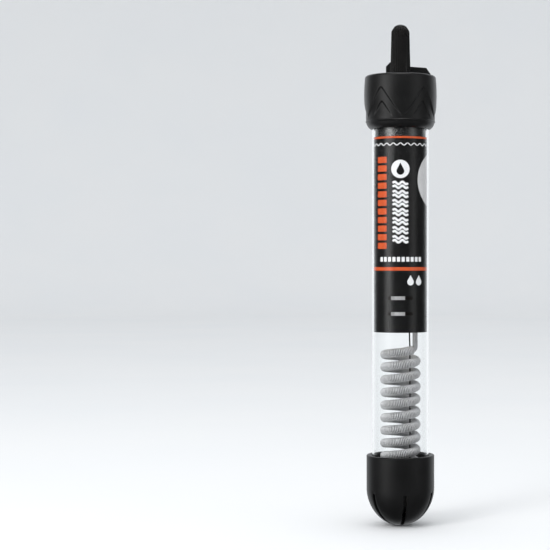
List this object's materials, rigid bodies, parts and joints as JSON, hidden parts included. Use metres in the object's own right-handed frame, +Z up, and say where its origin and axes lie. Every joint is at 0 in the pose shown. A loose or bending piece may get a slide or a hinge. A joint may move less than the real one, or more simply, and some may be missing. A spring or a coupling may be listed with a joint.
{
  "type": "submersible aquarium heater",
  "caption": "Slim glass-tube aquarium heater with a black head, fluted setting knob, thermostat sleeve, coiled element and slotted bottom guard.",
  "frame": {"origin": "lowest point of the bottom guard, on the tube's axis", "axes": "+Z up along the tube towards the knob, -Y to the front of the label, +Y out of the cord gland"},
  "size_m": [0.0281, 0.028, 0.1936],
  "materials": {
    "glass_tube": "clear borosilicate glass",
    "bottom_guard": "satin black rubbery plastic",
    "guard_cushion": "soft silicone",
    "heating_coil": "silver resistance wire wound on a fibre core",
    "coil_feed_lead": "bright lead",
    "coil_return_lead": "dull lead",
    "base_pad": "pressed mineral fibre",
    "thermostat_sleeve": "black",
    "label_film": "printed black film with orange and white marks",
    "heat_shield": "mica disc",
    "head_plug": "glossy black",
    "plug_ring_lower": "black ring",
    "plug_ring_upper": "black ring",
    "head_gasket": "black gasket",
    "spindle_bush": "turned brass",
    "spindle_ring": "black ring",
    "head_cap": "fine satin black plastic",
    "cord_gland": "black rubber",
    "setting_knob": "fluted black plastic",
    "knob_spindle": "turned brass",
    "spindle_clip": "spring steel",
    "adjuster_nut": "brass",
    "carrier_plate": "brown laminate board",
    "terminal_left": "brass rivet",
    "terminal_right": "brass rivet",
    "bimetal_bracket": "brass block",
    "leaf_block": "brass block",
    "magnet_bridge": "plated steel",
    "snap_magnet": "ferrite",
    "bimetal_strip": "rolled bimetal",
    "bimetal_rivet": "brass rivet",
    "moving_contact": "silver contact",
    "armature": "soft iron",
    "adjuster_leaf": "spring bronze",
    "leaf_rivet": "brass rivet",
    "fixed_contact": "silver contact",
    "live_wire": "brown insulated wire",
    "neutral_wire": "blue insulated wire",
    "thermal_fuse": "metal can",
    "suppressor_capacitor": "dipped capacitor",
    "lamp_resistor": "small resistor",
    "lamp_base": "pale plastic",
    "indicator_lamp": "silvery glass bulb"
  },
  "bodies": {
    "heater": {"glass_tube": "glass_tube", "heating_coil": "heating_coil", "coil_feed_lead": "coil_feed_lead", "coil_return_lead": "coil_return_lead", "base_pad": "base_pad", "thermostat_sleeve": "thermostat_sleeve", "label_film": "label_film", "heat_shield": "heat_shield", "head_plug": "head_plug", "plug_ring_lower": "plug_ring_lower", "plug_ring_upper": "plug_ring_upper", "head_gasket": "head_gasket", "spindle_bush": "spindle_bush", "spindle_ring": "spindle_ring", "head_cap": "head_cap", "cord_gland": "cord_gland", "carrier_plate": "carrier_plate", "terminal_left": "terminal_left", "terminal_right": "terminal_right", "bimetal_bracket": "bimetal_bracket", "leaf_block": "leaf_block", "magnet_bridge": "magnet_bridge", "snap_magnet": "snap_magnet", "live_wire": "live_wire", "neutral_wire": "neutral_wire", "thermal_fuse": "thermal_fuse", "suppressor_capacitor": "suppressor_capacitor", "lamp_resistor": "lamp_resistor", "lamp_base": "lamp_base", "indicator_lamp": "indicator_lamp"},
    "knob": {"setting_knob": "setting_knob", "knob_spindle": "knob_spindle", "spindle_clip": "spindle_clip"},
    "adjuster": {"adjuster_nut": "adjuster_nut"},
    "leaf": {"adjuster_leaf": "adjuster_leaf", "leaf_rivet": "leaf_rivet", "fixed_contact": "fixed_contact"},
    "bimetal": {"bimetal_strip": "bimetal_strip", "bimetal_rivet": "bimetal_rivet", "moving_contact": "moving_contact", "armature": "armature"},
    "guard": {"bottom_guard": "bottom_guard", "guard_cushion": "guard_cushion"}
  },
  "joints": [
    {"name": "knob_turn", "type": "hinge", "parent": "heater", "child": "knob", "pos_m": [0, 0, 0.1747], "axis": [0, 0, 1], "range_deg": [-140, 140]},
    {"name": "adjuster_travel", "type": "slide", "parent": "heater", "child": "adjuster", "axis": [0, 0, 1], "range_m": [-0.00058, 0.00058]},
    {"name": "leaf_tilt", "type": "hinge", "parent": "heater", "child": "leaf", "pos_m": [0, 0.0018, 0.1104], "axis": [1, 0, 0], "range_deg": [-1.6, 1.6]},
    {"name": "bimetal_flex", "type": "hinge", "parent": "heater", "child": "bimetal", "pos_m": [0, -0.0006, 0.102], "axis": [1, 0, 0], "range_deg": [0, 3], "stiffness_Nm_per_rad": 0.02},
    {"name": "guard_slide", "type": "slide", "parent": "heater", "child": "guard", "axis": [0, 0, -1], "range_m": [0, 0.035]}
  ],
  "couplings": [
    {"joint": "knob_turn", "follows": "adjuster_travel", "rad_per_m": -4188.8},
    {"joint": "leaf_tilt", "follows": "adjuster_travel", "rad_per_m": 45.872}
  ]
}
